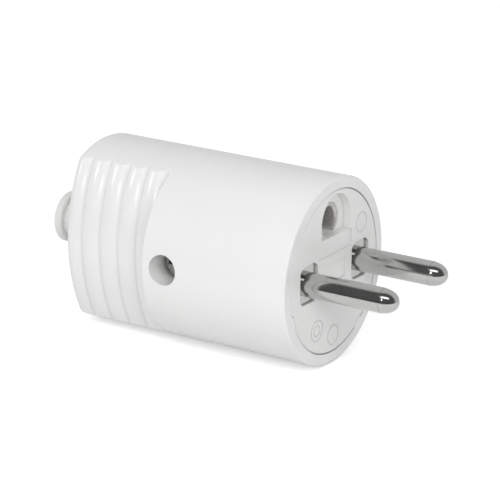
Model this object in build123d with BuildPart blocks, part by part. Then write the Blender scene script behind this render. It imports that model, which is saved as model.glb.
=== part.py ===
from build123d import *
import os
from math import cos, radians, tan

# Straight rewirable mains plug: two round pins, and a socket for the wall's earth pin.
# X runs along the plug towards the pin tips, and x = 0 is the face that meets the wall outlet.
# Z is up with the plug lying on its side, earth socket at the top. The side screw faces -Y.
# All sizes are in millimetres. Depths are counted back from the face.

os.makedirs("parts", exist_ok=True)

# Pins
pin_spacing = 19.0
pin_r = 2.4
pin_length = 19.0
tip_length = 3.1
tip_step = 0.08
collar_r = 4.2
collar_half_width = 3.1
collar_half_height = 3.75
collar_recess = 0.5
collar_edge = 0.15
pin_flange_width = 8.8
pin_flange_rim = 0.6
pin_flange_thickness = 1.6
barrel_width = 6.8
barrel_top = 2.5
barrel_bottom = 7.8
barrel_length = 8.8
barrel_gap = 3.9
barrel_edge_r = 0.8
wire_bore_r = 1.6
wire_bore_depth = 7.6
wire_bore_edge = 0.4

# Earth socket
earth_height = 10.0
earth_bore_r = 2.45
sheet = 0.8
earth_tube_length = 14.0
earth_slit_angle = 75.0
earth_mouth_edge = 0.35
tail_width = 4.4
tail_bend_r = 1.3
tail_reach = 3.2
earth_pad_width = 6.4
earth_pad_length = 8.6
spring_ring_wall = 0.8
spring_ring_width = 1.4
spring_ring_depth = 12.4
spring_ring_gap_angle = 90.0

# Cover
cover_r = 18.4
cover_length = 53.4
cover_wall = 2.3
cover_front_edge = 0.4
rear_round = 2.0
seat_depth = 4.0
seat_step = 0.8
guide_height = 0.8
guide_width = 1.6
guide_count = 4

# Grip: a scoop on each flank, with ribs across it
grip_start = 31.5
scoop_depth = 5.5
scoop_half_angle = 63.0
shoulder_round = 1.1
rib_count = 5
rib_pitch = 4.22
rib_crown = 0.5

# Key lugs in the cover's mouth: angles from Y towards Z, in degrees
key_angles = (-157.0, -54.0)
key_width = 2.8
key_height = 0.5

# Side screw: its pocket floor is set from the plug's axis
side_screw_depth = 27.0
side_pocket_r = 3.0
pocket_floor = 11.4
side_boss_wall = 1.3
side_boss_floor = 1.6
side_screw_r = 1.5
side_screw_length = 6.0
side_head_r = 2.7
side_head_height = 1.8

# Insert that carries the contacts
face_edge = 0.25
tower_gap = 1.1
tower_depth = 9.0
tower_top = 4.4
tower_bottom = 10.6
spine_half_width = 6.0
spine_thickness = 3.0
spine_gap = 3.3
recess_half_width = 5.3
recess_depth = 1.6
recess_floor = 7.05
sleeve_wall = 1.2
nut_block_length = 8.0
nut_block_wall = 1.1
nut_block_height = 12.0
rest_block_start = 20.0

# Shallow panels and moulding marks on the face
panel_depth = 0.25
upper_panel_half_width = 6.2
upper_panel_height = 3.5
panel_band = 1.6
lower_panel_half_width = 4.1
lower_panel_height = 3.9
mark_depth = 0.15
mark_line = 0.3
mark_places = ((9.8, 7.3, 2.1), (-6.1, -10.2, 2.2), (-6.1, -10.2, 1.2), (0.0, -12.7, 2.1))

# Pin retainer
retainer_thickness = 1.8
retainer_screw_r = 1.1
retainer_screw_length = 6.0
retainer_head_r = 2.0
retainer_head_height = 1.3
retainer_screw_heights = {"upper": 2.0, "lower": -4.4}

# Terminal screws of the pins and of the earth tail
terminal_screw_r = 1.7
terminal_screw_length = 7.0
terminal_head_r = 2.7
terminal_head_height = 2.1
terminal_stand_off = 0.2
terminal_setback = 5.1
earth_screw_length = 6.6
clamp_washer_width = 6.4
clamp_washer_thickness = 1.0
earth_nut_width = 6.0
small_nut_width = 5.5
nut_thickness = 2.3

# Cord clamp
cord_r = 3.6
clamp_setback = 2.0
clamp_length = 9.0
clamp_side_gap = 1.0
clamp_screw_edge = 3.0
cradle_bottom = 2.6
saddle_thickness = 2.6
saddle_drop = 3.9
saddle_trough_r = 4.5
saddle_side_gap = 0.4
clamp_ridge = 0.4
clamp_ridge_width = 0.7
clamp_ridge_count = 3
clamp_screw_r = 1.45
clamp_head_r = 2.3
clamp_head_height = 2.4

# Cable bush
bush_reach = 8.6
bush_lip_r = 5.1
bush_lip_width = 1.7
bush_groove_r = 4.1
bush_groove_width = 1.5
bush_ring_r = 4.9
bush_ring_width = 1.9
bush_neck_r = 4.3
bush_flange_r = 6.3
bush_flange_width = 1.8
bush_edge_r = 0.45

# Clearances
slide_fit = 0.1
hole_fit = 0.05
screw_fit = 0.2
slot_width = 0.8
slot_depth = 1.0

# Worked-out sizes of the cover
bore_r = cover_r - cover_wall
seat_r = bore_r - seat_step
chamber_end = cover_length - cover_wall
front_chamber_end = grip_start - cover_wall
scoop_floor = cover_r - scoop_depth
scoop_edge = cover_r * cos(radians(scoop_half_angle))
scoop_axis = (cover_r**2 - scoop_floor**2) / (2 * (scoop_floor - scoop_edge))
scoop_r = scoop_axis + scoop_floor
first_crease = grip_start + shoulder_round
boss_r = side_pocket_r + side_boss_wall
boss_end = pocket_floor - side_boss_floor

# Worked-out sizes of the insert and what it carries
carrier_r = bore_r - slide_fit
tower_r = seat_r - tower_gap
face_thickness = seat_depth - slide_fit
pin_sides = {"line": 1, "neutral": -1}
pin_y = pin_spacing / 2
barrel_y = seat_r - barrel_gap - barrel_width / 2
barrel_height = barrel_top + barrel_bottom
barrel_middle = (barrel_top - barrel_bottom) / 2
barrel_start = tower_depth + pin_flange_thickness
barrel_end = barrel_start + barrel_length
terminal_depth = barrel_start + terminal_setback
earth_tube_r = earth_bore_r + sheet
earth_front = recess_depth
earth_back = earth_front + earth_tube_length
tail_depth = earth_back + tail_reach
tail_top = earth_height + earth_bore_r + sheet / 2
pad_z = tower_top - sheet / 2
earth_screw_depth = tail_depth + sheet + earth_pad_length / 2
spine_top = tower_top + spine_thickness
nut_block_outer = boss_end - slide_fit
nut_pocket_outer = nut_block_outer - side_boss_floor
nut_block_inner = nut_pocket_outer - nut_thickness - 2 * hole_fit - nut_block_wall
nut_block_start = side_screw_depth - nut_block_length / 2
rest_block_end = front_chamber_end - slide_fit
spine_end = chamber_end - bush_flange_width - spine_gap
clamp_start = spine_end - clamp_setback - clamp_length
clamp_depth = clamp_start + clamp_length / 2
clamp_half_width = scoop_floor - cover_wall - clamp_side_gap
clamp_screw_y = clamp_half_width - clamp_screw_edge
saddle_width = 2 * (clamp_half_width - saddle_side_gap)
saddle_bottom = saddle_drop + saddle_thickness
clamp_screw_length = saddle_bottom + spine_top + 0.6


def depth_plane(depth, y=0.0, z=0.0):
    """Plane across the plug, at a depth behind the face: its own x is Y and its own y is Z."""
    return Plane(origin=(-depth, y, z), x_dir=(0, 1, 0), z_dir=(1, 0, 0))


def collar_outline(gap):
    """Round collar with four flats, drawn in the sketch that is open, and larger all round by the gap."""
    Circle(collar_r + gap)
    Rectangle(2 * (collar_half_width + gap), 2 * (collar_half_height + gap), mode=Mode.INTERSECT)


def slotted_screw(seat, direction, shank_r, shank_length, head_r, head_height, slots=1):
    """Screw with a slotted or crossed head, seated under its head, with its shank along direction."""
    slot_reach = 2.2 if slots == 1 else 1.4
    base = Plane(origin=seat, z_dir=direction)
    along = Axis(seat, direction)
    with BuildPart() as screw:
        with BuildSketch(base):
            Circle(shank_r)
        extrude(amount=shank_length)
        chamfer(screw.edges().sort_by(along)[-1], shank_r / 3)
        with BuildSketch(base):
            Circle(head_r)
        extrude(amount=-head_height)
        fillet(screw.edges().sort_by(along)[0], head_height / 4)
        with BuildSketch(base.offset(-head_height)):
            for slot in range(slots):
                Rectangle(slot_reach * head_r, slot_width, rotation=90 * slot)
        extrude(amount=slot_depth, mode=Mode.SUBTRACT)
    return screw.part


def square_nut(middle, direction, width, hole_r):
    """Square nut, centred on middle, with its hole along direction."""
    base = Plane(origin=middle, x_dir=(1, 0, 0), z_dir=direction)
    with BuildPart() as nut:
        with BuildSketch(base):
            Rectangle(width, width)
            Circle(hole_r, mode=Mode.SUBTRACT)
        extrude(amount=nut_thickness / 2, both=True)
    return nut.part


# Cover: round body turned about the plug's axis
with BuildPart() as cover:
    with BuildSketch(Plane.XZ):
        with BuildLine():
            front_foot = Line((0, 0), (0, cover_r - cover_front_edge))
            front_edge = RadiusArc(front_foot @ 1, (-cover_front_edge, cover_r), -cover_front_edge)
            back_edge_start = (-cover_length + rear_round, cover_r)
            top = Line(front_edge @ 1, back_edge_start)
            back_edge = RadiusArc(top @ 1, (-cover_length, cover_r - rear_round), -rear_round)
            Polyline(back_edge @ 1, (-cover_length, 0), (0, 0))
        make_face()
    revolve(axis=Axis.X)

    # Scoops: each is turned about an axis of its own, far on the other side of the plug
    scoop_out = scoop_axis + cover_r + 1
    for side in (-1, 1):
        scoop_plane = Plane(origin=(0, -side * scoop_axis, 0), x_dir=(1, 0, 0), z_dir=(0, 0, side))
        scoop_turn = Axis((0, -side * scoop_axis, 0), (1, 0, 0))
        with BuildSketch(scoop_plane):
            with BuildLine():
                wall = Line((-grip_start, scoop_out), (-grip_start, scoop_r + shoulder_round))
                RadiusArc(wall @ 1, (-first_crease, scoop_r), shoulder_round)
                for rib in range(rib_count):
                    crease = -first_crease - rib * rib_pitch
                    crest = (crease - rib_pitch / 2, scoop_r + rib_crown)
                    ThreePointArc((crease, scoop_r), crest, (crease - rib_pitch, scoop_r))
                last_crease = -first_crease - rib_count * rib_pitch
                Polyline((last_crease, scoop_r), (last_crease, scoop_out), wall @ 0)
            make_face()
        revolve(axis=scoop_turn, mode=Mode.SUBTRACT)

        # The back edge is rounded along the scoop too
        edge_r = scoop_r + rib_crown - rear_round
        with BuildSketch(scoop_plane):
            with BuildLine():
                round_end = (-cover_length + rear_round, edge_r + rear_round)
                turn = RadiusArc((-cover_length, edge_r), round_end, rear_round)
                Polyline(turn @ 1, (-cover_length + rear_round, scoop_out), (-cover_length - 1, scoop_out),
                         (-cover_length - 1, edge_r), turn @ 0)
            make_face()
        revolve(axis=scoop_turn, mode=Mode.SUBTRACT)

    # Hollow: mouth for the insert's face, chamber, and a waisted chamber inside the grip
    with BuildSketch(depth_plane(0)):
        Circle(bore_r)
    extrude(amount=-seat_depth, mode=Mode.SUBTRACT)
    with BuildSketch(depth_plane(0)):
        for key_angle in key_angles:
            with PolarLocations(bore_r, 1, start_angle=key_angle):
                Rectangle(2 * key_height, key_width)
    extrude(amount=-seat_depth)
    with BuildSketch(depth_plane(0)):
        Circle(seat_r)
    extrude(amount=-front_chamber_end, mode=Mode.SUBTRACT)
    with BuildSketch(depth_plane(0)):
        Circle(seat_r)
        for side in (-1, 1):
            with Locations((-side * scoop_axis, 0)):
                Circle(scoop_r - cover_wall, mode=Mode.INTERSECT)
    extrude(amount=-chamber_end, mode=Mode.SUBTRACT)

    # Guide ribs along the chamber
    with BuildSketch(depth_plane(seat_depth + cover_wall)):
        with PolarLocations(seat_r, guide_count, start_angle=180 / guide_count):
            Rectangle(2 * guide_height, guide_width)
    extrude(amount=seat_depth + cover_wall - front_chamber_end)

    # Hole for the cable bush
    with BuildSketch(depth_plane(cover_length)):
        Circle(bush_neck_r + hole_fit)
    extrude(amount=cover_wall, mode=Mode.SUBTRACT)

    # Boss, pocket and hole of the side screw
    with BuildSketch(Plane.XZ.offset(boss_end)):
        with Locations((-side_screw_depth, 0)):
            Circle(boss_r)
    extrude(amount=seat_r - boss_end + guide_height)
    with BuildSketch(Plane.XZ.offset(pocket_floor)):
        with Locations((-side_screw_depth, 0)):
            Circle(side_pocket_r)
    extrude(amount=cover_r - pocket_floor, mode=Mode.SUBTRACT)
    with BuildSketch(Plane.XZ.offset(boss_end)):
        with Locations((-side_screw_depth, 0)):
            Circle(side_screw_r + screw_fit)
    extrude(amount=side_boss_floor, mode=Mode.SUBTRACT)
cover.part.label = "cover"
export_step(cover.part, "parts/cover.step")

# Contact carrier: the round face, with what holds the contacts behind it
with BuildPart() as contact_carrier:
    with BuildSketch(depth_plane(0)):
        Circle(carrier_r)
    extrude(amount=-face_thickness)
    chamfer(contact_carrier.faces().sort_by(Axis.X)[-1].edges(), face_edge)
    with BuildSketch(depth_plane(0)):
        for key_angle in key_angles:
            with PolarLocations(carrier_r, 1, start_angle=key_angle):
                Rectangle(2 * key_height, key_width + 2 * slide_fit)
    extrude(amount=-face_thickness, mode=Mode.SUBTRACT)

    # Tower behind the pins, with a land between their flanges
    with BuildSketch(depth_plane(face_thickness)):
        Circle(tower_r)
        with Locations((0, (tower_top - tower_bottom) / 2)):
            Rectangle(2 * tower_r, tower_top + tower_bottom, mode=Mode.INTERSECT)
    extrude(amount=face_thickness - tower_depth)
    land_half_width = barrel_y - pin_flange_width / 2 - screw_fit
    with BuildSketch(depth_plane(tower_depth)):
        with Locations((0, (tower_top - tower_bottom) / 2)):
            Rectangle(2 * land_half_width, tower_top + tower_bottom)
    extrude(amount=-pin_flange_thickness)

    # Sleeve round the earth socket, and the spine that runs to the back
    with BuildSketch(depth_plane(face_thickness)):
        with Locations((0, earth_height)):
            Circle(earth_tube_r + slide_fit + sleeve_wall)
        Circle(seat_r - screw_fit, mode=Mode.INTERSECT)
    extrude(amount=face_thickness - tower_depth)
    with BuildSketch(depth_plane(face_thickness)):
        with Locations((0, (tower_top + spine_top) / 2)):
            Rectangle(2 * spine_half_width, spine_thickness)
    extrude(amount=face_thickness - spine_end)

    # Blocks that hang from the spine: one takes the side screw's nut, and one rests on the chamber's far wall
    with BuildSketch(depth_plane(nut_block_start)):
        with Locations((-nut_block_outer, 0)):
            Rectangle(nut_block_outer - nut_block_inner, nut_block_height, align=(Align.MIN, Align.CENTER))
    extrude(amount=-nut_block_length)
    with BuildSketch(depth_plane(rest_block_start)):
        with Locations((nut_block_inner, 0)):
            Rectangle(cover_r, nut_block_height, align=(Align.MIN, Align.CENTER))
        Circle(seat_r - slide_fit, mode=Mode.INTERSECT)
    extrude(amount=rest_block_start - rest_block_end)

    # Cradle of the cord clamp, with gripping ridges
    with BuildSketch(depth_plane(clamp_start)):
        with Locations((0, (cradle_bottom + spine_top) / 2)):
            Rectangle(2 * clamp_half_width, spine_top - cradle_bottom)
        Circle(cord_r + clamp_ridge, mode=Mode.SUBTRACT)
    extrude(amount=-clamp_length)
    with BuildSketch(depth_plane(clamp_start)):
        Circle(cord_r + clamp_ridge)
    extrude(amount=-clamp_length, mode=Mode.SUBTRACT)
    for ridge in range(clamp_ridge_count):
        ridge_depth = clamp_start + (ridge + 0.5) * clamp_length / clamp_ridge_count
        with BuildSketch(depth_plane(ridge_depth - clamp_ridge_width / 2)):
            Circle(cord_r + 2 * clamp_ridge)
            with Locations((0, (cradle_bottom + spine_top) / 2)):
                Rectangle(2 * clamp_half_width, spine_top - cradle_bottom, mode=Mode.INTERSECT)
            Circle(cord_r, mode=Mode.SUBTRACT)
        extrude(amount=-clamp_ridge_width)

    # Openings for the pins' collars
    for side in pin_sides.values():
        with BuildSketch(depth_plane(0, side * pin_y)):
            collar_outline(hole_fit)
        extrude(amount=-tower_depth, mode=Mode.SUBTRACT)

    # Arched recess and bore of the earth socket, and room for its spring ring
    with BuildSketch(depth_plane(0)):
        with Locations((0, earth_height)):
            Circle(recess_half_width)
            Rectangle(2 * recess_half_width, earth_height, align=(Align.CENTER, Align.MAX))
        with Locations((0, recess_floor)):
            Rectangle(4 * recess_half_width, cover_r, align=(Align.CENTER, Align.MIN), mode=Mode.INTERSECT)
    extrude(amount=-recess_depth, mode=Mode.SUBTRACT)
    with BuildSketch(depth_plane(recess_depth)):
        with Locations((0, earth_height)):
            Circle(earth_tube_r + slide_fit)
    extrude(amount=recess_depth - tower_depth, mode=Mode.SUBTRACT)
    with BuildSketch(depth_plane(tower_depth)):
        with Locations((0, earth_height)):
            Circle(earth_tube_r + spring_ring_wall + screw_fit)
    extrude(amount=tower_depth - earth_back - slide_fit, mode=Mode.SUBTRACT)

    # Slot for the earth tail, and the hole and nut pocket of its screw
    with BuildSketch(Plane.XY.offset(tower_top)):
        with Locations((-tail_depth + sheet / 2 + screw_fit, 0)):
            Rectangle(sheet + 2 * screw_fit + tail_bend_r, tail_width + 2 * screw_fit,
                      align=(Align.MAX, Align.CENTER))
        with Locations((-earth_screw_depth, 0)):
            Circle(terminal_screw_r + screw_fit)
    extrude(amount=spine_thickness, mode=Mode.SUBTRACT)
    with BuildSketch(Plane.XY.offset(spine_top)):
        with Locations((-earth_screw_depth, 0)):
            Rectangle(earth_nut_width + 2 * hole_fit, earth_nut_width + 2 * hole_fit)
    extrude(amount=-nut_thickness, mode=Mode.SUBTRACT)

    # Holes and nut pockets of the clamp screws
    with BuildSketch(Plane.XY.offset(cradle_bottom)):
        with Locations((-clamp_depth, -clamp_screw_y), (-clamp_depth, clamp_screw_y)):
            Circle(clamp_screw_r + screw_fit)
    extrude(amount=spine_top - cradle_bottom, mode=Mode.SUBTRACT)
    with BuildSketch(Plane.XY.offset(spine_top)):
        with Locations((-clamp_depth, -clamp_screw_y), (-clamp_depth, clamp_screw_y)):
            Rectangle(small_nut_width + 2 * hole_fit, small_nut_width + 2 * hole_fit)
    extrude(amount=-nut_thickness, mode=Mode.SUBTRACT)

    # Slide-in pocket of the side screw's nut, and the screw's hole
    with BuildSketch(Plane.XZ.offset(nut_pocket_outer)):
        with Locations((-side_screw_depth, small_nut_width / 2 + hole_fit)):
            Rectangle(small_nut_width + 2 * hole_fit, small_nut_width + nut_block_height,
                      align=(Align.CENTER, Align.MAX))
    extrude(amount=-nut_thickness - 2 * hole_fit, mode=Mode.SUBTRACT)
    with BuildSketch(Plane.XZ.offset(nut_block_outer)):
        with Locations((-side_screw_depth, 0)):
            Circle(side_screw_r + screw_fit)
    extrude(amount=nut_block_inner - nut_block_outer, mode=Mode.SUBTRACT)

    # Pilot holes of the retainer's screws
    with BuildSketch(depth_plane(barrel_start)):
        for height in retainer_screw_heights.values():
            with Locations((0, height)):
                Circle(retainer_screw_r + hole_fit)
    extrude(amount=retainer_screw_length - retainer_thickness, mode=Mode.SUBTRACT)

    # Shallow panels between the pins, and round moulding marks
    with BuildSketch(depth_plane(0)):
        with Locations((0, recess_floor)):
            Rectangle(2 * upper_panel_half_width, upper_panel_height, align=(Align.CENTER, Align.MAX))
        with Locations((0, recess_floor - upper_panel_height - panel_band)):
            Rectangle(2 * lower_panel_half_width, lower_panel_height, align=(Align.CENTER, Align.MAX))
    extrude(amount=-panel_depth, mode=Mode.SUBTRACT)
    for mark_y, mark_z, mark_r in mark_places:
        with BuildSketch(depth_plane(0, mark_y, mark_z)):
            Circle(mark_r)
            Circle(mark_r - mark_line, mode=Mode.SUBTRACT)
        extrude(amount=-mark_depth, mode=Mode.SUBTRACT)
contact_carrier.part.label = "contact_carrier"
export_step(contact_carrier.part, "parts/contact_carrier.step")

# Pins: turned rod with a rounded tip, a collar with flats, a flange, and a terminal block nearer the axis
for pin_name, side in pin_sides.items():
    pin_turn = Axis((0, side * pin_y, 0), (1, 0, 0))
    with BuildPart() as pin:
        with BuildSketch(depth_plane(collar_recess, side * pin_y)):
            collar_outline(0)
        extrude(amount=collar_recess - tower_depth)
        chamfer(pin.faces().sort_by(Axis.X)[-1].edges(), collar_edge)
        with BuildSketch(Plane.XZ.offset(-side * pin_y)):
            with BuildLine():
                tip_start = pin_length - tip_length
                rod = Polyline((-tower_depth, 0), (-tower_depth, pin_r), (tip_start, pin_r),
                               (tip_start, pin_r - tip_step))
                tip = EllipticalCenterArc((tip_start, 0), tip_length, pin_r - tip_step, arc_size=90)
                Line(tip @ 0, rod @ 0)
            make_face()
        revolve(axis=pin_turn)
        with BuildSketch(depth_plane(tower_depth, side * barrel_y, barrel_middle)):
            Rectangle(pin_flange_width, barrel_height + 2 * pin_flange_rim)
        extrude(amount=-pin_flange_thickness)
        with BuildSketch(depth_plane(barrel_start, side * barrel_y, barrel_middle)):
            RectangleRounded(barrel_width, barrel_height, barrel_edge_r)
        extrude(amount=-barrel_length)
        with BuildSketch(depth_plane(barrel_end, side * barrel_y)):
            Circle(wire_bore_r)
        extrude(amount=wire_bore_depth, mode=Mode.SUBTRACT)
        mouth = pin.faces().sort_by(Axis.X)[0].edges().filter_by(GeomType.CIRCLE).sort_by(SortBy.RADIUS)[-1]
        chamfer(mouth, wire_bore_edge)
        with BuildSketch(Plane.XY.offset(-barrel_bottom)):
            with Locations((-terminal_depth, side * barrel_y)):
                Circle(terminal_screw_r + hole_fit)
        extrude(amount=barrel_bottom, mode=Mode.SUBTRACT)
    pin.part.label = f"{pin_name}_pin"
    export_step(pin.part, f"parts/{pin_name}_pin.step")

    terminal_seat = (-terminal_depth, side * barrel_y, -barrel_bottom - terminal_stand_off)
    terminal_screw = slotted_screw(terminal_seat, (0, 0, 1), terminal_screw_r, terminal_screw_length,
                                   terminal_head_r, terminal_head_height)
    terminal_screw.label = f"{pin_name}_terminal_screw"
    export_step(terminal_screw, f"parts/{pin_name}_terminal_screw.step")

# Pin retainer: a plate that bears on both flanges and lets the barrels through
with BuildPart() as pin_retainer:
    with BuildSketch(depth_plane(barrel_start)):
        Circle(tower_r)
        with Locations((0, (tower_top - tower_bottom) / 2)):
            Rectangle(2 * tower_r, tower_top + tower_bottom - 2 * screw_fit, mode=Mode.INTERSECT)
        with Locations((-barrel_y, barrel_middle), (barrel_y, barrel_middle)):
            Rectangle(barrel_width + 2 * slide_fit, barrel_height + 2 * slide_fit, mode=Mode.SUBTRACT)
        for height in retainer_screw_heights.values():
            with Locations((0, height)):
                Circle(retainer_screw_r + screw_fit, mode=Mode.SUBTRACT)
    extrude(amount=-retainer_thickness)
pin_retainer.part.label = "pin_retainer"
export_step(pin_retainer.part, "parts/pin_retainer.step")

for place, height in retainer_screw_heights.items():
    retainer_seat = (-barrel_start - retainer_thickness, 0, height)
    retainer_screw = slotted_screw(retainer_seat, (1, 0, 0), retainer_screw_r, retainer_screw_length,
                                   retainer_head_r, retainer_head_height)
    retainer_screw.label = f"{place}_retainer_screw"
    export_step(retainer_screw, f"parts/{place}_retainer_screw.step")

# Earth contact: sheet rolled into a split socket, with a tail bent down to its terminal pad
with BuildPart() as earth_contact:
    slit_drop = 2 * earth_tube_r
    slit_spread = slit_drop * tan(radians(earth_slit_angle / 2))
    with BuildSketch(depth_plane(earth_front, 0, earth_height)):
        Circle(earth_tube_r)
        Circle(earth_bore_r, mode=Mode.SUBTRACT)
        with BuildLine():
            Polyline((0, 0), (-slit_spread, -slit_drop), (slit_spread, -slit_drop), close=True)
        make_face(mode=Mode.SUBTRACT)
    extrude(amount=-earth_tube_length)
    mouth = earth_contact.faces().sort_by(Axis.X)[-1].edges().filter_by(GeomType.CIRCLE)
    chamfer(mouth.sort_by(SortBy.RADIUS)[0], earth_mouth_edge)
    tail_start = (-earth_back + sheet, tail_top)
    tail_end = (-tail_depth - sheet - tail_bend_r, pad_z)
    with BuildLine(Plane.XZ) as tail_line:
        FilletPolyline(tail_start, (-tail_depth, tail_top), (-tail_depth, pad_z), tail_end,
                       radius=tail_bend_r)
    with BuildSketch(depth_plane(earth_back - sheet, 0, tail_top)):
        Rectangle(tail_width, sheet)
    sweep(path=tail_line.line)
    with BuildSketch(Plane.XY.offset(pad_z)):
        with Locations((-earth_screw_depth, 0)):
            Rectangle(earth_pad_length, earth_pad_width)
            Circle(terminal_screw_r + screw_fit, mode=Mode.SUBTRACT)
    extrude(amount=sheet / 2, both=True)
earth_contact.part.label = "earth_contact"
export_step(earth_contact.part, "parts/earth_contact.step")

# Spring ring that grips the rolled socket, closed over the socket's slit
with BuildPart() as earth_spring_ring:
    ring_rise = 2 * earth_tube_r + 2 * spring_ring_wall
    ring_spread = ring_rise * tan(radians(spring_ring_gap_angle / 2))
    with BuildSketch(depth_plane(spring_ring_depth, 0, earth_height)):
        Circle(earth_tube_r + hole_fit + spring_ring_wall)
        Circle(earth_tube_r + hole_fit, mode=Mode.SUBTRACT)
        with BuildLine():
            Polyline((0, 0), (-ring_spread, ring_rise), (ring_spread, ring_rise), close=True)
        make_face(mode=Mode.SUBTRACT)
    extrude(amount=-spring_ring_width)
earth_spring_ring.part.label = "earth_spring_ring"
export_step(earth_spring_ring.part, "parts/earth_spring_ring.step")

# Earth terminal: square washer, screw from below, nut on top of the spine
washer_top = tower_top - sheet
with BuildPart() as earth_clamp_washer:
    with BuildSketch(Plane.XY.offset(washer_top)):
        with Locations((-earth_screw_depth, 0)):
            Rectangle(clamp_washer_width, clamp_washer_width)
            Circle(terminal_screw_r + hole_fit, mode=Mode.SUBTRACT)
    extrude(amount=-clamp_washer_thickness)
earth_clamp_washer.part.label = "earth_clamp_washer"
export_step(earth_clamp_washer.part, "parts/earth_clamp_washer.step")

earth_seat = (-earth_screw_depth, 0, washer_top - clamp_washer_thickness)
earth_terminal_screw = slotted_screw(earth_seat, (0, 0, 1), terminal_screw_r, earth_screw_length,
                                     terminal_head_r, terminal_head_height)
earth_terminal_screw.label = "earth_terminal_screw"
export_step(earth_terminal_screw, "parts/earth_terminal_screw.step")

earth_nut_middle = (-earth_screw_depth, 0, spine_top - nut_thickness / 2)
earth_nut = square_nut(earth_nut_middle, (0, 0, 1), earth_nut_width, terminal_screw_r + hole_fit)
earth_nut.label = "earth_nut"
export_step(earth_nut, "parts/earth_nut.step")

# Cord clamp: cast strap with a trough under the cord, drawn up by two screws
with BuildPart() as cord_clamp:
    with BuildSketch(depth_plane(clamp_start)):
        Circle(saddle_trough_r + saddle_thickness)
        with Locations((0, -saddle_drop)):
            Rectangle(saddle_width, cover_r, align=(Align.CENTER, Align.MAX), mode=Mode.INTERSECT)
            Rectangle(saddle_width, saddle_thickness, align=(Align.CENTER, Align.MAX))
        Circle(saddle_trough_r, mode=Mode.SUBTRACT)
    extrude(amount=-clamp_length)
    with BuildSketch(Plane.XY.offset(-saddle_bottom)):
        with Locations((-clamp_depth, -clamp_screw_y), (-clamp_depth, clamp_screw_y)):
            Circle(clamp_screw_r + screw_fit)
    extrude(amount=saddle_thickness, mode=Mode.SUBTRACT)
cord_clamp.part.label = "cord_clamp"
export_step(cord_clamp.part, "parts/cord_clamp.step")

for place, side in {"left": 1, "right": -1}.items():
    clamp_y = side * clamp_screw_y
    clamp_screw = slotted_screw((-clamp_depth, clamp_y, -saddle_bottom), (0, 0, 1), clamp_screw_r,
                                clamp_screw_length, clamp_head_r, clamp_head_height)
    clamp_screw.label = f"{place}_clamp_screw"
    export_step(clamp_screw, f"parts/{place}_clamp_screw.step")
    clamp_nut = square_nut((-clamp_depth, clamp_y, spine_top - nut_thickness / 2), (0, 0, 1),
                           small_nut_width, clamp_screw_r + hole_fit)
    clamp_nut.label = f"{place}_clamp_nut"
    export_step(clamp_nut, f"parts/{place}_clamp_nut.step")

# Side screw and its nut, which hold the cover on the insert
cover_screw = slotted_screw((-side_screw_depth, -pocket_floor, 0), (0, 1, 0), side_screw_r,
                            side_screw_length, side_head_r, side_head_height, slots=2)
cover_screw.label = "cover_screw"
export_step(cover_screw, "parts/cover_screw.step")

cover_nut_middle = (-side_screw_depth, -nut_pocket_outer + hole_fit + nut_thickness / 2, 0)
cover_nut = square_nut(cover_nut_middle, (0, -1, 0), small_nut_width, side_screw_r + hole_fit)
cover_nut.label = "cover_nut"
export_step(cover_nut, "parts/cover_nut.step")

# Cable bush: flange inside the back wall, neck through it, ring, groove and lip outside
with BuildPart() as cable_bush:
    bush_end = cover_length + bush_reach
    lip_start = bush_end - bush_lip_width
    ring_end = lip_start - bush_groove_width
    ring_start = ring_end - bush_ring_width
    flange_start = chamber_end - bush_flange_width
    with BuildSketch(Plane.XZ):
        with BuildLine():
            Polyline(
                (-flange_start, cord_r),
                (-flange_start, bush_flange_r),
                (-chamber_end, bush_flange_r),
                (-chamber_end, bush_neck_r),
                (-ring_start, bush_neck_r),
                (-ring_start, bush_ring_r),
                (-ring_end, bush_ring_r),
                (-ring_end, bush_groove_r),
                (-lip_start, bush_groove_r),
                (-lip_start, bush_lip_r),
                (-bush_end, bush_lip_r),
                (-bush_end, cord_r),
                close=True,
            )
        make_face()
    revolve(axis=Axis.X)
    rims = cable_bush.edges().filter_by(GeomType.CIRCLE)
    outer_rims = rims.filter_by(lambda edge: edge.radius > bush_neck_r and edge.center().X < -cover_length)
    fillet(outer_rims, bush_edge_r)
cable_bush.part.label = "cable_bush"
export_step(cable_bush.part, "parts/cable_bush.step")
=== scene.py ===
"""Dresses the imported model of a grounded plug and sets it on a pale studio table.

All lengths in the scene are metres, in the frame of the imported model: +X runs along the pins to their
tips, +Z points to the earth socket, and x = 0 is the face that meets the wall outlet. Sizes that are
named with _mm are millimetres and are turned to metres where they are used.
"""
import sys
import logging
import math
from dataclasses import dataclass, field
from enum import Enum
from typing import Any

import bmesh
import bpy
from mathutils import Matrix, Vector


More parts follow.
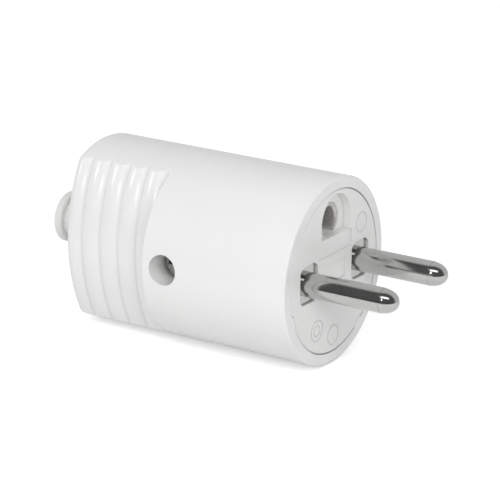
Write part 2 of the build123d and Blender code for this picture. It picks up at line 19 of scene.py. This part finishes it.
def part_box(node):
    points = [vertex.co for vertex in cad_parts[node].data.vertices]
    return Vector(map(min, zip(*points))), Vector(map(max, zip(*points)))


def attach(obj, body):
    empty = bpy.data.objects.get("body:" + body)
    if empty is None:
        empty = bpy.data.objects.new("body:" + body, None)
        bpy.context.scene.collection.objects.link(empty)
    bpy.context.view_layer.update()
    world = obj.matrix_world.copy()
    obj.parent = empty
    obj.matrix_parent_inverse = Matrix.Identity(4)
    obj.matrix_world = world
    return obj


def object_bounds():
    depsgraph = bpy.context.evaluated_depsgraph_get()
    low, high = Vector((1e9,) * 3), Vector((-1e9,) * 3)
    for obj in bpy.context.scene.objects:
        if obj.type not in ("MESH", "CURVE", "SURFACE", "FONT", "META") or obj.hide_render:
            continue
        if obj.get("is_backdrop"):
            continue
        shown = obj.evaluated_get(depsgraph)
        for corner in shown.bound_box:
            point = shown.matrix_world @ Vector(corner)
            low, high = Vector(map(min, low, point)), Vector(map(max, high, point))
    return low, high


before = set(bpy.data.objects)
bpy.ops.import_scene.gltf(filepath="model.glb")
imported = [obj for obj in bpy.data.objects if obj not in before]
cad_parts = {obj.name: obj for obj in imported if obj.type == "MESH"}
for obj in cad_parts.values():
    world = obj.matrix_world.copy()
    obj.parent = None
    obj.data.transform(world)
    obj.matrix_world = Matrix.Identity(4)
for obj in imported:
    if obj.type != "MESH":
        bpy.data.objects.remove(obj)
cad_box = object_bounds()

MM = 0.001
BODY = "root"
FRAME_PX = 500
SENSOR_MM = 36.0
CLIP_M = (0.01, 20.0)
TABLE_GAP_MM = 0.02
WHITE = (1.0, 1.0, 1.0, 1.0)
log = logging.getLogger("plug")


def linear(hex_colour: str) -> tuple[float, float, float, float]:
    """Turns an sRGB hex colour into the linear colour that a shader takes.

    Args:
        hex_colour: Six hex digits with a leading #.

    Returns:
        Linear red, green and blue, and an alpha of 1.
    """
    channels = [int(hex_colour[i : i + 2], 16) / 255 for i in (1, 3, 5)]
    red, green, blue = (c / 12.92 if c <= 0.04045 else ((c + 0.055) / 1.055) ** 2.4 for c in channels)
    return red, green, blue, 1.0


def direction(azimuth: float, elevation: float) -> Vector:
    """Gives the unit vector from the plug towards a place in the studio.

    Args:
        azimuth: Degrees round from -Y, growing towards +X.
        elevation: Degrees above the horizon.

    Returns:
        The unit vector.
    """
    a, e = math.radians(azimuth), math.radians(elevation)
    return Vector((math.sin(a) * math.cos(e), -math.cos(a) * math.cos(e), math.sin(e)))


def add(tree: bpy.types.NodeTree, kind: str, settings: dict[str, Any] | None = None,
        inputs: dict[str | int, Any] | None = None) -> bpy.types.Node:
    """Adds a node with its settings and its inputs.

    Args:
        tree: The tree that gets the node.
        kind: Blender's name for the node's type.
        settings: Properties of the node itself.
        inputs: For each input socket, by name or number, its value or the output that feeds it.

    Returns:
        The new node.
    """
    node = tree.nodes.new(kind)
    for name, value in (settings or {}).items():
        setattr(node, name, value)
    for key, value in (inputs or {}).items():
        if isinstance(value, bpy.types.NodeSocket):
            tree.links.new(value, node.inputs[key])
        else:
            node.inputs[key].default_value = value
    return node


def blank_material(name: str) -> tuple[bpy.types.Material, bpy.types.NodeTree]:
    """Makes a material with an empty node tree.

    Args:
        name: The finish it stands for.

    Returns:
        The material and its tree.
    """
    material = bpy.data.materials.new(name)
    material.use_nodes = True
    material.node_tree.nodes.clear()
    return material, material.node_tree


def per_metre(size_mm: float) -> float:
    """Turns the size of a pattern in millimetres into a texture's scale."""
    return 1 / (size_mm * MM)


@dataclass(frozen=True)
class MouldedPlastic:
    """A moulded plastic: its tone drifts a little with the flow, and its skin has a soft waviness.

    Its creases carry painted shade: where ambient occlusion finds them sheltered, its tone is mixed towards a
    darker crease colour. Each band is the part of a pattern's 0 to 1 range that is spread over the whole
    change of roughness or tone.
    """

    name: str
    body: str
    drift: str
    crease_shade: str
    roughness: float
    roughness_spread: float
    cloud_mm: float
    wave_mm: float
    wave_depth_mm: float
    grain_mm: float
    grain_depth_mm: float
    crease_shade_mm: float
    ior: float = 1.53
    grain_band: tuple[float, float] = (0.3, 0.7)
    crease_shade_band: tuple[float, float] = (0.74, 0.94)

    def make(self) -> bpy.types.Material:
        """Builds the material.

        Returns:
            The finished material, on Object coordinates.
        """
        material, tree = blank_material(self.name)
        place = add(tree, "ShaderNodeTexCoord").outputs["Object"]
        cloud = add(tree, "ShaderNodeTexNoise", inputs={
            "Vector": place, "Scale": per_metre(self.cloud_mm), "Detail": 3.0})
        tone = add(tree, "ShaderNodeMix", {"data_type": "RGBA"}, {
            0: cloud.outputs["Fac"], 6: linear(self.body), 7: linear(self.drift)})
        # Painted shade: a darker crease colour is mixed in where ambient occlusion finds creases and hollows.
        occlusion = add(tree, "ShaderNodeAmbientOcclusion", {"samples": 8}, {"Distance": self.crease_shade_mm * MM})
        unshaded = add(tree, "ShaderNodeMapRange", inputs={
            "Value": occlusion.outputs["AO"], "From Min": self.crease_shade_band[0], "From Max": self.crease_shade_band[1]})
        shaded_tone = add(tree, "ShaderNodeMix", {"data_type": "RGBA"}, {
            0: unshaded.outputs["Result"], 6: linear(self.crease_shade), 7: tone.outputs[2]})
        wave = add(tree, "ShaderNodeTexNoise", inputs={
            "Vector": place, "Scale": per_metre(self.wave_mm), "Detail": 1.0})
        grain = add(tree, "ShaderNodeTexNoise", inputs={
            "Vector": place, "Scale": per_metre(self.grain_mm), "Detail": 2.0})
        sheen = add(tree, "ShaderNodeMapRange", inputs={
            "Value": grain.outputs["Fac"], "From Min": self.grain_band[0], "From Max": self.grain_band[1],
            "To Min": self.roughness - self.roughness_spread,
            "To Max": self.roughness + self.roughness_spread})
        wavy = add(tree, "ShaderNodeBump", inputs={
            "Strength": 1.0, "Distance": self.wave_depth_mm * MM, "Height": wave.outputs["Fac"]})
        skin = add(tree, "ShaderNodeBump", inputs={
            "Strength": 1.0, "Distance": self.grain_depth_mm * MM, "Height": grain.outputs["Fac"],
            "Normal": wavy.outputs["Normal"]})
        shader = add(tree, "ShaderNodeBsdfPrincipled", inputs={
            "Base Color": shaded_tone.outputs[2], "Roughness": sheen.outputs["Result"], "IOR": self.ior,
            "Normal": skin.outputs["Normal"]})
        add(tree, "ShaderNodeOutputMaterial", inputs={"Surface": shader.outputs["BSDF"]})
        return material


@dataclass(frozen=True)
class PlatedMetal:
    """A plated metal: tool or rolling lines under the plating, and a plating that is not even all over.

    The film is the share of the light that a dull skin on the plating scatters. The polish band is the part
    of the patterns' 0 to 1 range that is spread over the whole change of roughness.
    """

    name: str
    bright: str
    dull: str
    roughness: float
    roughness_spread: float
    line_mm: tuple[float, float, float]
    line_depth_mm: float
    patch_mm: float
    film: float = 0.0
    polish_band: tuple[float, float] = (0.1, 0.45)

    def make(self) -> bpy.types.Material:
        """Builds the material.

        Returns:
            The finished material, on Object coordinates.
        """
        material, tree = blank_material(self.name)
        place = add(tree, "ShaderNodeTexCoord").outputs["Object"]
        stretched = add(tree, "ShaderNodeMapping", inputs={
            "Vector": place, "Scale": tuple(per_metre(size) for size in self.line_mm)})
        lines = add(tree, "ShaderNodeTexNoise", inputs={
            "Vector": stretched.outputs["Vector"], "Scale": 1.0, "Detail": 3.0})
        patches = add(tree, "ShaderNodeTexNoise", inputs={
            "Vector": place, "Scale": per_metre(self.patch_mm), "Detail": 4.0})
        tone = add(tree, "ShaderNodeMix", {"data_type": "RGBA"}, {
            0: patches.outputs["Fac"], 6: linear(self.bright), 7: linear(self.dull)})
        both = add(tree, "ShaderNodeMath", {"operation": "MULTIPLY"}, {
            0: lines.outputs["Fac"], 1: patches.outputs["Fac"]})
        polish = add(tree, "ShaderNodeMapRange", inputs={
            "Value": both.outputs["Value"], "From Min": self.polish_band[0], "From Max": self.polish_band[1],
            "To Min": self.roughness - self.roughness_spread,
            "To Max": self.roughness + self.roughness_spread})
        relief = add(tree, "ShaderNodeBump", inputs={
            "Strength": 1.0, "Distance": self.line_depth_mm * MM, "Height": lines.outputs["Fac"]})
        shader = add(tree, "ShaderNodeBsdfPrincipled", inputs={
            "Base Color": tone.outputs[2], "Metallic": 1.0 - self.film, "Roughness": polish.outputs["Result"],
            "Normal": relief.outputs["Normal"]})
        add(tree, "ShaderNodeOutputMaterial", inputs={"Surface": shader.outputs["BSDF"]})
        return material


class Finish(Enum):
    """The finishes of the plug, each with what its real material gives the eye. The plastics' crease colours
    are painted shade.
    """

    # Glossy injection-moulded urea or ABS: a bright white with clear, slightly soft reflections.
    SHELL = MouldedPlastic(
        "white_gloss_moulding", body="#F1F1F0", drift="#ECECEC", crease_shade="#D2D2D1",
        roughness=0.2, roughness_spread=0.03, cloud_mm=14.0, wave_mm=3.2, wave_depth_mm=0.004,
        grain_mm=0.4, grain_depth_mm=0.0004, crease_shade_mm=0.8)
    # The insert comes out of another mould with a finely ground face: the same white, a little duller.
    INSERT = MouldedPlastic(
        "white_satin_moulding", body="#F0F0EF", drift="#EBEBEA", crease_shade="#E0E0DF",
        roughness=0.34, roughness_spread=0.05, cloud_mm=9.0, wave_mm=2.4, wave_depth_mm=0.003,
        grain_mm=0.3, grain_depth_mm=0.0012, crease_shade_mm=0.5)
    # Soft PVC: rubbery, with broad dim highlights and a slightly warm white.
    SOFT = MouldedPlastic(
        "soft_white_pvc", body="#EEEEED", drift="#E8E8E6", crease_shade="#E0E0DE",
        roughness=0.48, roughness_spread=0.06, cloud_mm=6.0, wave_mm=1.8, wave_depth_mm=0.012,
        grain_mm=0.25, grain_depth_mm=0.003, crease_shade_mm=0.6)
    # Bright nickel on turned brass: a mirror with faint rings, spaced as the lathe's feed leaves them.
    PIN = PlatedMetal(
        "bright_nickel_on_turned_brass", bright="#CCCCCB", dull="#C0BFBD",
        roughness=0.13, roughness_spread=0.05, line_mm=(0.22, 40.0, 40.0), line_depth_mm=0.0004, patch_mm=5.0)
    # Nickel on rolled sheet: lines along the strip, and a plating that has gone dull.
    SHEET = PlatedMetal(
        "nickel_on_rolled_sheet", bright="#D6D5D2", dull="#C6C4C0",
        roughness=0.3, roughness_spread=0.07, line_mm=(12.0, 0.3, 0.3), line_depth_mm=0.001, patch_mm=2.5,
        film=0.45)
    # Nickel on a small machine screw: turned lines along its axis, which is Y.
    SCREW = PlatedMetal(
        "nickel_on_screw", bright="#C6C4C0", dull="#AAA7A2",
        roughness=0.24, roughness_spread=0.06, line_mm=(6.0, 0.25, 6.0), line_depth_mm=0.001, patch_mm=1.2)
    # Clear-passivated zinc on pressed and headed steel: greyer, mottled, with soft highlights.
    ZINC = PlatedMetal(
        "zinc_on_steel", bright="#C9CDD1", dull="#AEB4B4",
        roughness=0.32, roughness_spread=0.08, line_mm=(0.6, 0.6, 0.25), line_depth_mm=0.0015, patch_mm=1.6)
    # Blued spring steel: dark, with a blue cast where the oxide is thick.
    BLUED = PlatedMetal(
        "blued_spring_steel", bright="#5A6068", dull="#3A4254",
        roughness=0.3, roughness_spread=0.07, line_mm=(0.3, 6.0, 6.0), line_depth_mm=0.001, patch_mm=1.8)

    def material(self) -> bpy.types.Material:
        """Gives the finish's material, which is built once."""
        return bpy.data.materials.get(self.value.name) or self.value.make()


def dress(node: str, finish: Finish) -> None:
    """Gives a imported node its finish.

    Args:
        node: The node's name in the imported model.
        finish: The finish of its real material.
    """
    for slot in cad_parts[node].material_slots:
        slot.material = finish.material()
    low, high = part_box(node)
    size = " x ".join(f"{length / MM:.1f}" for length in high - low)
    log.info("%s: %s, %s mm", node, finish.value.name, size)


class ThreadWinder:
    """Winds screw threads with one Geometry Nodes tree, as a three-sided ridge along a helix."""

    POINTS_PER_TURN = 28
    RIDGE_SIDES = 3
    INPUTS = {"Start": "Vector", "Turn": "Vector", "Core Radius": "Float", "Length": "Float",
              "Pitch": "Float", "Ridge Radius": "Float", "Finish": "Material"}

    def __init__(self) -> None:
        """Builds the tree."""
        self.tree = bpy.data.node_groups.new("wind_screw_thread", "GeometryNodeTree")
        for name, kind in self.INPUTS.items():
            self.tree.interface.new_socket(name, in_out="INPUT", socket_type=f"NodeSocket{kind}")
        self.tree.interface.new_socket("Thread", in_out="OUTPUT", socket_type="NodeSocketGeometry")
        given = add(self.tree, "NodeGroupInput").outputs
        turns = add(self.tree, "ShaderNodeMath", {"operation": "DIVIDE"}, {
            0: given["Length"], 1: given["Pitch"]})
        helix = add(self.tree, "GeometryNodeCurveSpiral", inputs={
            "Resolution": self.POINTS_PER_TURN, "Rotations": turns.outputs["Value"],
            "Start Radius": given["Core Radius"], "End Radius": given["Core Radius"],
            "Height": given["Length"]})
        upright = add(self.tree, "GeometryNodeSetCurveNormal", {"mode": "Z_UP"}, {
            "Curve": helix.outputs["Curve"]})
        ridge = add(self.tree, "GeometryNodeCurvePrimitiveCircle", inputs={
            "Resolution": self.RIDGE_SIDES, "Radius": given["Ridge Radius"]})
        wound = add(self.tree, "GeometryNodeCurveToMesh", inputs={
            "Curve": upright.outputs["Curve"], "Profile Curve": ridge.outputs["Curve"], "Fill Caps": True})
        placed = add(self.tree, "GeometryNodeTransform", inputs={
            "Geometry": wound.outputs["Mesh"], "Translation": given["Start"], "Rotation": given["Turn"]})
        real = add(self.tree, "GeometryNodeRealizeInstances", inputs={"Geometry": placed.outputs["Geometry"]})
        plated = add(self.tree, "GeometryNodeSetMaterial", inputs={
            "Geometry": real.outputs["Geometry"], "Material": given["Finish"]})
        add(self.tree, "NodeGroupOutput", inputs={"Thread": plated.outputs["Geometry"]})

    def wind(self, name: str, values: dict[str, Any]) -> bpy.types.Object:
        """Winds one thread and turns it into a plain mesh.

        Args:
            name: The name of the new piece.
            values: A value for each named input of the tree.

        Returns:
            The new piece, at the origin, with its place in its mesh.
        """
        holder = bpy.data.objects.new("thread_holder", bpy.data.meshes.new("thread_holder"))
        bpy.context.scene.collection.objects.link(holder)
        modifier = holder.modifiers.new("wind", "NODES")
        modifier.node_group = self.tree
        for item in self.tree.interface.items_tree:
            if item.in_out == "INPUT":
                modifier[item.identifier] = values[item.name]
        evaluated = holder.evaluated_get(bpy.context.evaluated_depsgraph_get())
        mesh = bpy.data.meshes.new_from_object(evaluated)
        mesh.name = name
        bpy.data.objects.remove(holder)
        piece = bpy.data.objects.new(name, mesh)
        bpy.context.scene.collection.objects.link(piece)
        return piece


class Heading(Enum):
    """The way a screw's shank points: the turn that brings +Z there, and the axis it lies along."""

    UP = ((0.0, 0.0, 0.0), 2)
    TO_FACE = ((0.0, math.pi / 2, 0.0), 0)
    INWARD = ((-math.pi / 2, 0.0, 0.0), 1)


@dataclass
class Screw:
    """A headed machine screw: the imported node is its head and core, and the thread is wound on here.

    head_mm is the height of the head and core_mm the radius of the core. The thread starts run_out_mm below
    the head and ends tip_mm before the point. Its ridge has a radius of ridge_share of the pitch, and the
    ridge's middle lies sink_mm inside the core.
    """

    node: str
    heading: Heading
    finish: Finish
    slot: str
    head_mm: float
    core_mm: float
    pitch_mm: float = 0.6
    run_out_mm: float = 0.7
    tip_mm: float = 0.8
    sink_mm: float = 0.06
    ridge_share: float = 0.3

    def build(self, winder: ThreadWinder) -> None:
        """Dresses the screw and winds its thread.

        Args:
            winder: The maker of threads.
        """
        dress(self.node, self.finish)
        low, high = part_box(self.node)
        turn, axis = self.heading.value
        start = (low + high) / 2
        start[axis] = low[axis] + (self.head_mm + self.run_out_mm) * MM
        length = high[axis] - start[axis] - self.tip_mm * MM
        thread = winder.wind(f"{self.node}_thread", {
            "Start": tuple(start), "Turn": turn, "Core Radius": (self.core_mm - self.sink_mm) * MM,
            "Length": length, "Pitch": self.pitch_mm * MM,
            "Ridge Radius": self.ridge_share * self.pitch_mm * MM, "Finish": self.finish.material()})
        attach(thread, BODY)
        log.info("%s: %.1f turns", thread.name, length / (self.pitch_mm * MM))


@dataclass
class CoverShell:
    """The round cover with its ribbed grips, and the soft bush where the cord would enter."""

    nodes: dict[str, Finish] = field(default_factory=lambda: {
        "cover": Finish.SHELL, "cable_bush": Finish.SOFT})

    def build(self) -> None:
        """Dresses the shell and the bush."""
        for node, finish in self.nodes.items():
            dress(node, finish)


@dataclass
class ContactInsert:
    """The insert with the plug's round face, and the plate that holds the pins in it."""

    nodes: tuple[str, ...] = ("contact_carrier", "pin_retainer")
    retainer_screws: tuple[str, ...] = ("upper_retainer_screw", "lower_retainer_screw")
    head_mm: float = 1.3
    core_mm: float = 1.1
    pitch_mm: float = 0.5

    def build(self, winder: ThreadWinder) -> None:
        """Dresses the insert and its plate, and winds the plate's screws.

        Args:
            winder: The maker of threads.
        """
        for node in self.nodes:
            dress(node, Finish.INSERT)
        for node in self.retainer_screws:
            Screw(node, Heading.TO_FACE, Finish.ZINC, "zinc_steel",
                  self.head_mm, self.core_mm, self.pitch_mm).build(winder)


@dataclass
class PinPair:
    """The two solid pins with their terminal blocks and screws."""

    names: tuple[str, str] = ("line", "neutral")
    head_mm: float = 2.1
    core_mm: float = 1.7

    def build(self, winder: ThreadWinder) -> None:
        """Dresses the pins and winds their terminal screws.

        Args:
            winder: The maker of threads.
        """
        for name in self.names:
            dress(f"{name}_pin", Finish.PIN)
            Screw(f"{name}_terminal_screw", Heading.UP, Finish.ZINC, "zinc_steel",
                  self.head_mm, self.core_mm).build(winder)


@dataclass
class EarthSocket:
    """The rolled socket for the wall's earth pin, its spring ring and its terminal."""

    hardware: tuple[str, str] = ("earth_clamp_washer", "earth_nut")
    head_mm: float = 2.1
    core_mm: float = 1.7

    def build(self, winder: ThreadWinder) -> None:
        """Dresses the socket and winds its terminal screw.

        Args:
            winder: The maker of threads.
        """
        dress("earth_contact", Finish.SHEET)
        dress("earth_spring_ring", Finish.BLUED)
        for node in self.hardware:
            dress(node, Finish.ZINC)
        Screw("earth_terminal_screw", Heading.UP, Finish.ZINC, "zinc_steel",
              self.head_mm, self.core_mm).build(winder)


@dataclass
class CordGrip:
    """The strap that would hold the cord, with its two screws and nuts."""

    sides: tuple[str, str] = ("left", "right")
    head_mm: float = 2.4
    core_mm: float = 1.45
    pitch_mm: float = 0.5

    def build(self, winder: ThreadWinder) -> None:
        """Dresses the strap and its nuts, and winds its screws.

        Args:
            winder: The maker of threads.
        """
        dress("cord_clamp", Finish.ZINC)
        for side in self.sides:
            dress(f"{side}_clamp_nut", Finish.ZINC)
            Screw(f"{side}_clamp_screw", Heading.UP, Finish.ZINC, "zinc_steel",
                  self.head_mm, self.core_mm, self.pitch_mm).build(winder)


@dataclass
class SideFixing:
    """The side screw that holds the cover on the insert, and its nut."""

    head_mm: float = 1.8
    core_mm: float = 1.5
    pitch_mm: float = 0.5

    def build(self, winder: ThreadWinder) -> None:
        """Dresses the nut and winds the screw.

        Args:
            winder: The maker of threads.
        """
        dress("cover_nut", Finish.ZINC)
        Screw("cover_screw", Heading.INWARD, Finish.SCREW, "nickel_screw",
              self.head_mm, self.core_mm, self.pitch_mm).build(winder)


@dataclass
class Softbox:
    """A soft area lamp that faces the plug. One that isn't seen in metal leaves no highlight at all."""

    name: str
    azimuth: float
    elevation: float
    distance: float
    width: float
    height: float
    watts: float
    seen_in_metal: bool = True

    def build(self, aim: Vector) -> None:
        """Hangs the lamp.

        Args:
            aim: The point it faces.
        """
        lamp = bpy.data.lights.new(self.name, "AREA")
        lamp.shape, lamp.size, lamp.size_y, lamp.energy = "RECTANGLE", self.width, self.height, self.watts
        holder = bpy.data.objects.new(self.name, lamp)
        bpy.context.scene.collection.objects.link(holder)
        towards = direction(self.azimuth, self.elevation)
        holder.location = aim + towards * self.distance
        holder.rotation_mode = "QUATERNION"
        holder.rotation_quaternion = (-towards).to_track_quat("-Z", "Y")
        holder.visible_camera = False
        holder.visible_glossy = self.seen_in_metal
        log.info("%s: %.2f W", self.name, self.watts)


@dataclass
class Table:
    """The pale table top. It shows a little lighter than it is lit, so that the open table is white.

    In mirrors it is pale up to the first mirror_reach_mm in front of the plug, towards -Y, and unlit past
    the second.
    """

    height: float
    radius: float = 3.0
    segments: int = 96
    colour: str = "#EEEEEE"
    speck: str = "#EAEAEA"
    unlit: str = "#484848"
    speck_mm: float = 0.8
    roughness: float = 0.9
    specular: float = 0.05
    lift: float = 0.5
    mirror_lift: float = 0.22
    mirror_reach_mm: tuple[float, float] = (78.0, 110.0)

    def build(self) -> None:
        """Makes the round table top and stages it."""
        mesh = bpy.data.meshes.new("table_top")
        shape = bmesh.new()
        bmesh.ops.create_circle(shape, cap_ends=True, segments=self.segments, radius=self.radius,
                                matrix=Matrix.Translation((0, 0, self.height)))
        shape.to_mesh(mesh)
        shape.free()
        table = bpy.data.objects.new("table_top", mesh)
        bpy.context.scene.collection.objects.link(table)
        mesh.materials.append(self._laminate())
        table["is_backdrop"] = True

    def _laminate(self) -> bpy.types.Material:
        """Makes the table's matt laminate.

        Returns:
            The material, with a small glow that only the camera, mirrors and clear things see.
        """
        material, tree = blank_material("matt_white_laminate")
        place = add(tree, "ShaderNodeTexCoord").outputs["Object"]
        specks = add(tree, "ShaderNodeTexNoise", inputs={"Vector": place, "Scale": per_metre(self.speck_mm)})
        tone = add(tree, "ShaderNodeMix", {"data_type": "RGBA"}, {
            0: specks.outputs["Fac"], 6: linear(self.colour), 7: linear(self.speck)})
        rays = add(tree, "ShaderNodeLightPath").outputs
        direct = add(tree, "ShaderNodeMath", {"operation": "MAXIMUM"}, {
            0: rays["Is Camera Ray"], 1: rays["Is Transmission Ray"]})
        across = add(tree, "ShaderNodeSeparateXYZ", inputs={0: place})
        beyond = add(tree, "ShaderNodeMapRange", {"interpolation_type": "SMOOTHSTEP"}, {
            "Value": across.outputs["Y"], "From Min": -self.mirror_reach_mm[1] * MM,
            "From Max": -self.mirror_reach_mm[0] * MM, "To Min": 1.0, "To Max": 0.0})
        hidden = add(tree, "ShaderNodeMath", {"operation": "MULTIPLY"}, {
            0: rays["Is Glossy Ray"], 1: beyond.outputs["Result"]})
        mirrored = add(tree, "ShaderNodeMath", {"operation": "SUBTRACT"}, {
            0: rays["Is Glossy Ray"], 1: hidden.outputs["Value"]})
        dim = add(tree, "ShaderNodeMath", {"operation": "MULTIPLY"}, {
            0: mirrored.outputs["Value"], 1: self.mirror_lift})
        glow = add(tree, "ShaderNodeMath", {"operation": "MULTIPLY_ADD"}, {
            0: direct.outputs["Value"], 1: self.lift, 2: dim.outputs["Value"]})
        top = add(tree, "ShaderNodeMix", {"data_type": "RGBA"}, {
            0: hidden.outputs["Value"], 6: tone.outputs[2], 7: linear(self.unlit)})
        shader = add(tree, "ShaderNodeBsdfPrincipled", inputs={
            "Base Color": top.outputs[2], "Roughness": self.roughness, "Specular IOR Level": self.specular,
            "Emission Color": WHITE, "Emission Strength": glow.outputs["Value"]})
        add(tree, "ShaderNodeOutputMaterial", inputs={"Surface": shader.outputs["BSDF"]})
        return material


@dataclass
class Room:
    """The room round the table: white to the camera, and in mirrors grey walls and a black flag in front.

    The flag's place is an azimuth and an elevation. It fades out between the two reaches, in degrees.
    """

    ambient: float = 0.54
    walls: float = 0.66
    flag: float = 0.1
    flag_place: tuple[float, float] = (18.0, 20.0)
    flag_reach: tuple[float, float] = (85.0, 65.0)

    def build(self) -> None:
        """Makes the world."""
        world = bpy.data.worlds.new("studio_room")
        bpy.context.scene.world = world
        world.use_nodes = True
        tree = world.node_tree
        tree.nodes.clear()
        near = add(tree, "ShaderNodeVectorMath", {"operation": "DOT_PRODUCT"}, {
            0: add(tree, "ShaderNodeTexCoord").outputs["Generated"], 1: direction(*self.flag_place)})
        far_edge, near_edge = (math.cos(math.radians(angle)) for angle in self.flag_reach)
        room = add(tree, "ShaderNodeMapRange", {"interpolation_type": "SMOOTHSTEP"}, {
            "Value": near.outputs["Value"], "From Min": far_edge, "From Max": near_edge,
            "To Min": self.walls, "To Max": self.flag})
        rays = add(tree, "ShaderNodeLightPath").outputs
        lit = add(tree, "ShaderNodeMix", {"data_type": "FLOAT"}, {
            0: rays["Is Glossy Ray"], 2: self.ambient, 3: room.outputs["Result"]})
        direct = add(tree, "ShaderNodeMath", {"operation": "MAXIMUM"}, {
            0: rays["Is Camera Ray"], 1: rays["Is Transmission Ray"]})
        shown = add(tree, "ShaderNodeMix", {"data_type": "FLOAT"}, {
            0: direct.outputs["Value"], 2: lit.outputs[0], 3: 1.0})
        glow = add(tree, "ShaderNodeBackground", inputs={
            "Color": WHITE, "Strength": shown.outputs[0]})
        add(tree, "ShaderNodeOutputWorld", inputs={"Surface": glow.outputs["Background"]})


@dataclass
class Viewpoint:
    """The photograph's camera: a long lens, a little above the plug and towards the pins."""

    azimuth: float = 31.88
    elevation: float = 18.02
    roll: float = 0.99
    distance_mm: float = 484.3
    lens_mm: float = 180.78
    target_mm: tuple[float, float, float] = (-20.0, 0.0, 0.0)
    target_px: tuple[float, float] = (245.1, 252.5)

    def build(self) -> None:
        """Makes the camera and gives it to the scene."""
        back = direction(self.azimuth, self.elevation)
        level = Vector((-back.y, back.x, 0)).normalized()
        upright = back.cross(level)
        turn = math.radians(self.roll)
        right = math.cos(turn) * level + math.sin(turn) * upright
        up = -math.sin(turn) * level + math.cos(turn) * upright
        camera = bpy.data.cameras.new("photo_camera")
        camera.sensor_width, camera.lens = SENSOR_MM, self.lens_mm
        camera.shift_x = (FRAME_PX / 2 - self.target_px[0]) / FRAME_PX
        camera.shift_y = (self.target_px[1] - FRAME_PX / 2) / FRAME_PX
        camera.clip_start, camera.clip_end = CLIP_M
        holder = bpy.data.objects.new("photo_camera", camera)
        place = Vector(self.target_mm) * MM + back * self.distance_mm * MM
        holder.matrix_world = Matrix((right, up, back)).transposed().to_4x4()
        holder.location = place
        bpy.context.scene.collection.objects.link(holder)
        bpy.context.scene.camera = holder
        log.info("camera: %.2f mm lens, %.0f mm away", self.lens_mm, self.distance_mm)


@dataclass
class Studio:
    """The camera, the table, the room and the lamps."""

    viewpoint: Viewpoint = field(default_factory=Viewpoint)
    room: Room = field(default_factory=Room)
    lamps: tuple[Softbox, ...] = (
        # High in front: the broad light on top of the body.
        Softbox("key_softbox", azimuth=14.0, elevation=48.0, distance=0.6,
                width=0.5, height=0.16, watts=0.66),
        # Three fills: the flank with its grip, the whole front, and the round face.
        Softbox("flank_fill", azimuth=-42.0, elevation=8.0, distance=0.7,
                width=0.6, height=0.3, watts=0.17, seen_in_metal=False),
        Softbox("front_fill", azimuth=32.0, elevation=16.0, distance=0.7,
                width=0.2, height=0.2, watts=0.33, seen_in_metal=False),
        Softbox("face_fill", azimuth=52.0, elevation=24.0, distance=0.3,
                width=0.1, height=0.08, watts=0.16, seen_in_metal=False),
        # Two small lamps: the paired highlights on the gloss of the ribs.
        Softbox("left_strip", azimuth=-50.0, elevation=23.0, distance=0.6,
                width=0.04, height=0.08, watts=0.2),
        Softbox("right_strip", azimuth=-5.0, elevation=23.0, distance=0.6,
                width=0.04, height=0.08, watts=0.2),
    )

    def build(self) -> None:
        """Sets up everything that isn't part of the plug."""
        bpy.context.scene.view_settings.view_transform = "Standard"
        self.viewpoint.build()
        self.room.build()
        Table(height=cad_box[0].z - TABLE_GAP_MM * MM).build()
        for lamp in self.lamps:
            lamp.build(Vector(self.viewpoint.target_mm) * MM)


def write_sizes() -> None:
    """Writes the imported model's box and the dressed model's box for comparison."""
    boxes = {"cad": cad_box, "visual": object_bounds()}
    plain = {name: [list(corner) for corner in box] for name, box in boxes.items()}
    for name, box in plain.items():
        log.info("%s box: %s", name, box)


def main() -> None:
    """Builds the studio, then the plug's sub-assemblies in the order in which it is put together."""
    logging.basicConfig(level=logging.INFO, format="%(name)s: %(message)s", stream=sys.stdout)
    Studio().build()
    winder = ThreadWinder()
    ContactInsert().build(winder)
    PinPair().build(winder)
    EarthSocket().build(winder)
    CordGrip().build(winder)
    CoverShell().build()
    SideFixing().build(winder)
    write_sizes()


if __name__ == "__main__":
    main()
